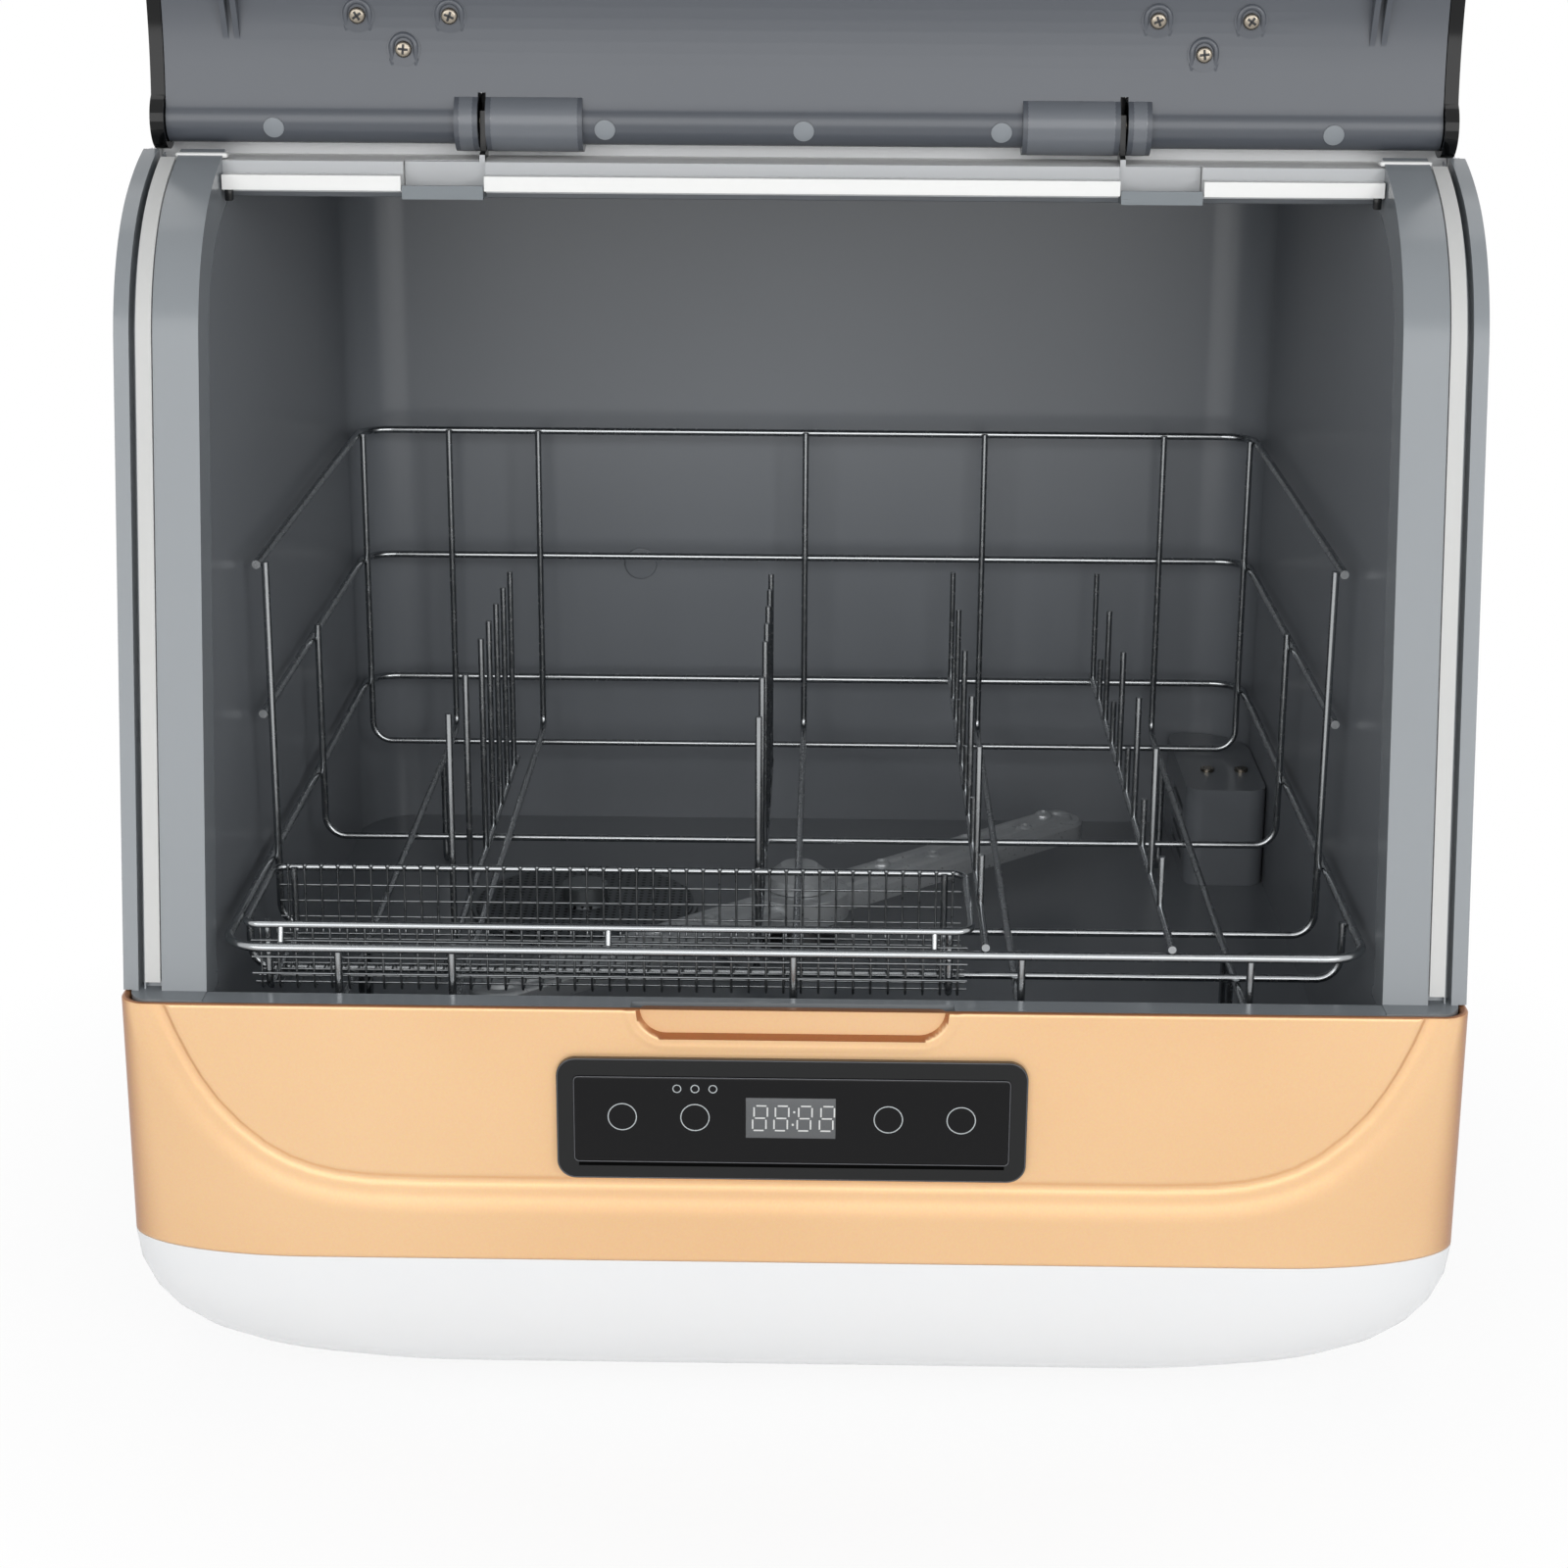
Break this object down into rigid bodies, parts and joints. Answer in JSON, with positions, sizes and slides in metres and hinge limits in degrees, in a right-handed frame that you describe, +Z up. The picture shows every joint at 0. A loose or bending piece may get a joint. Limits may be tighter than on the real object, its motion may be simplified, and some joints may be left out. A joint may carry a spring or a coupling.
{
  "type": "countertop dishwasher",
  "caption": "Countertop dishwasher with an upward-opening curved lid, wire rack, cutlery basket and rotating spray arm.",
  "frame": {"origin": "on the table, in the plane of the undersides of the four feet, under the middle of the machine's whole outline with its lid open", "axes": "+X to the right as seen from the front, +Y to the rear, +Z up; the front band faces -Y"},
  "size_m": [0.442, 0.5232, 0.6285],
  "materials": {
    "white_shell": "gloss",
    "gold_band": "satin",
    "black_gloss": "gloss",
    "black_panel": "gloss",
    "display": "matte",
    "circuit_board": "matte",
    "foot_rubber": "matte",
    "screw_steel": "polished",
    "grey_frame": "satin",
    "seal_rubber": "matte",
    "clip_steel": "satin",
    "lid_grey": "satin",
    "dark_plastic": "matte",
    "tub_grey": "satin",
    "white_plastic": "matte",
    "arm_grey": "satin",
    "filter_steel": "brushed",
    "motor_steel": "satin",
    "hose_rubber": "matte",
    "rack_steel": "polished"
  },
  "bodies": {
    "cabinet": {"base_shell": "white_shell", "feet": "foot_rubber", "base_screws": "screw_steel", "front_band": "gold_band", "control_bezel": "black_gloss", "control_panel": "black_panel", "display_module": "display", "control_board": "circuit_board", "side_panel_left": "white_shell", "side_panel_right": "white_shell", "top_cover": "white_shell", "rear_cover": "white_shell", "rear_screws": "screw_steel", "door_frame": "grey_frame", "seal_left": "seal_rubber", "seal_right": "seal_rubber", "top_seal_bar": "seal_rubber", "hinge_bracket_left": "clip_steel", "hinge_bracket_right": "clip_steel", "hinge_pin_left": "screw_steel", "hinge_pin_right": "screw_steel", "lid_switch": "dark_plastic", "tub": "tub_grey", "overflow_housing": "tub_grey", "housing_screws": "screw_steel", "spray_post": "dark_plastic", "arm_cap": "arm_grey", "sump": "dark_plastic", "heater_disc": "screw_steel", "pump_volute": "dark_plastic", "wash_motor": "motor_steel", "pump_inlet_pipe": "hose_rubber", "drain_pump": "dark_plastic", "drain_hose": "hose_rubber", "drain_connector": "dark_plastic", "inlet_connector": "dark_plastic", "inlet_valve": "white_plastic", "inlet_hose": "hose_rubber", "fan_housing": "dark_plastic", "power_board": "circuit_board", "cord_inlet": "hose_rubber"},
    "lid": {"lid_outer": "black_gloss", "lid_inner": "lid_grey", "lid_screws": "screw_steel"},
    "rack": {"rack_rails": "rack_steel", "rack_ribs": "rack_steel", "rack_cradles": "rack_steel", "tine_row_left": "rack_steel", "tine_row_middle": "rack_steel", "tine_row_right": "rack_steel", "tine_row_outer": "rack_steel"},
    "basket": {"basket_frame": "rack_steel", "basket_mesh": "rack_steel"},
    "spray_arm": {"spray_arm": "arm_grey"},
    "filter": {"filter_cup": "filter_steel"},
    "float": {"overflow_float": "white_plastic"},
    "wash_impeller": {"wash_impeller": "white_plastic"},
    "drain_rotor": {"drain_rotor": "white_plastic"},
    "fan_rotor": {"fan_rotor": "dark_plastic"}
  },
  "joints": [
    {"name": "lid_hinge", "type": "hinge", "parent": "cabinet", "child": "lid", "pos_m": [0, -0.05749, 0.4176], "axis": [1, 0, 0], "range_deg": [0, 113]},
    {"name": "rack_lift", "type": "slide", "parent": "cabinet", "child": "rack", "axis": [0, 0.1942, 0.981], "range_m": [0, 0.055]},
    {"name": "basket_lift", "type": "slide", "parent": "rack", "child": "basket", "axis": [0, 0.109, 0.994], "range_m": [0, 0.03]},
    {"name": "spray_arm_spin", "type": "hinge", "parent": "cabinet", "child": "spray_arm", "pos_m": [0, 0.01357, 0.12], "axis": [0, 0, 1], "continuous": true},
    {"name": "filter_turn", "type": "hinge", "parent": "cabinet", "child": "filter", "pos_m": [-0.086, 0.06657, 0.09], "axis": [0, 0, 1], "range_deg": [0, 40]},
    {"name": "float_lift", "type": "slide", "parent": "cabinet", "child": "float", "axis": [0, 0, 1], "range_m": [0, 0.008]},
    {"name": "wash_pump_spin", "type": "hinge", "parent": "cabinet", "child": "wash_impeller", "pos_m": [0, 0.04157, 0.052], "axis": [1, 0, 0], "continuous": true},
    {"name": "drain_pump_spin", "type": "hinge", "parent": "cabinet", "child": "drain_rotor", "pos_m": [-0.086, 0.12247, 0.052], "axis": [0, 1, 0], "continuous": true},
    {"name": "fan_spin", "type": "hinge", "parent": "cabinet", "child": "fan_rotor", "pos_m": [0, 0.22157, 0.32], "axis": [0, 1, 0], "continuous": true}
  ]
}
